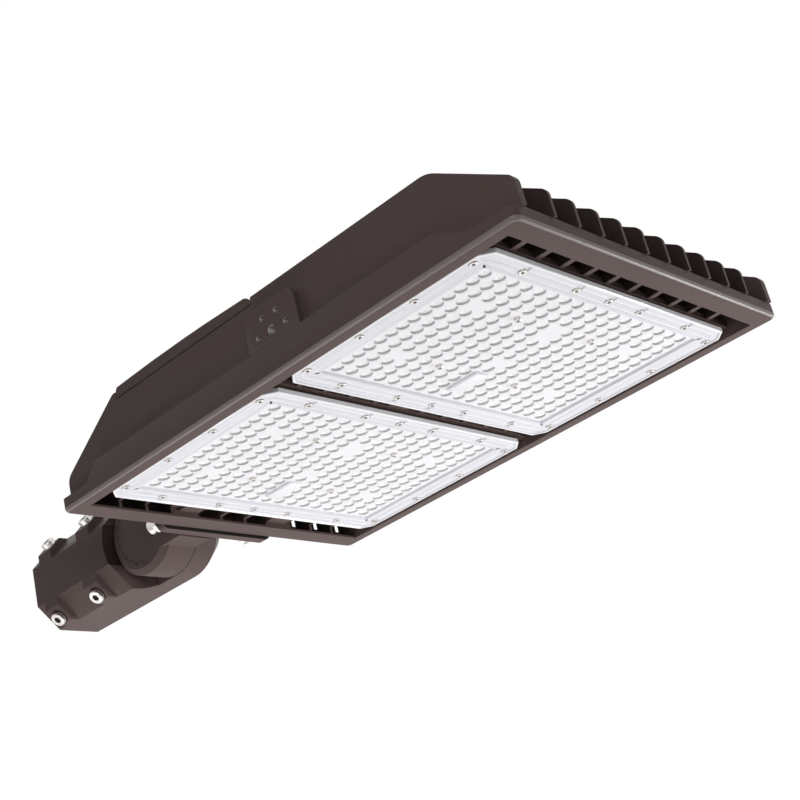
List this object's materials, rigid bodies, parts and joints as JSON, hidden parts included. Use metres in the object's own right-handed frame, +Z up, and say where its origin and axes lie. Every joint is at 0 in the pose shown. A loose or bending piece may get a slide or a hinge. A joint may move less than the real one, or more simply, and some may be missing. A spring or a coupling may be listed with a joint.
{
  "type": "led floodlight",
  "caption": "Finned outdoor LED area floodlight with a row of domed lens modules below, a top driver cover and a tilting knuckle on a slip-fitter arm for a round pole tenon",
  "frame": {"origin": "centre of the slip-fitter's mouth, on the tenon bore's axis", "axes": "+X runs from the pole tenon to the light's front, +Z is up with the lenses facing down, Y = 0 is the middle of the light"},
  "size_m": [0.6725, 0.3192, 0.0933],
  "materials": {
    "bronze_paint": "textured dark bronze powder coat on die-cast aluminium",
    "stainless": "satin",
    "black_rubber": "matte",
    "white_rubber": "matte",
    "driver_case": "satin",
    "black_plastic": "matte",
    "white_plastic": "matte",
    "lead_jacket": "matte",
    "white_board": "white solder mask on an aluminium board",
    "clear_lens": "clear moulded polycarbonate"
  },
  "bodies": {
    "slip_fitter": {"slip_fitter": "bronze_paint", "clamp_bolts": "stainless", "pivot_bolt": "stainless", "pivot_washer": "stainless", "knuckle_seal": "black_rubber"},
    "luminaire": {"knuckle_bracket": "bronze_paint", "flange_gasket": "black_rubber", "flange_bolts": "stainless", "flange_washers": "stainless", "heat_sink_housing": "bronze_paint", "driver_cover": "bronze_paint", "cover_gasket": "black_rubber", "cover_screws": "stainless", "led_driver": "driver_case", "driver_screws": "stainless", "surge_protector": "black_plastic", "terminal_block": "white_plastic", "earth_screw": "stainless", "wire_grommet": "black_rubber", "rear_lens": "clear_lens", "rear_lens_seal": "white_rubber", "rear_lens_screws": "stainless", "rear_led_board": "white_board", "rear_board_connector": "white_plastic", "rear_module_lead": "lead_jacket", "front_lens": "clear_lens", "front_lens_seal": "white_rubber", "front_lens_screws": "stainless", "front_led_board": "white_board", "front_board_connector": "white_plastic", "front_module_lead": "lead_jacket"}
  },
  "joints": [
    {"name": "knuckle_tilt", "type": "hinge", "parent": "slip_fitter", "child": "luminaire", "pos_m": [0.1432, 0, 0], "axis": [0, 1, 0], "range_deg": [-30, 90]}
  ]
}
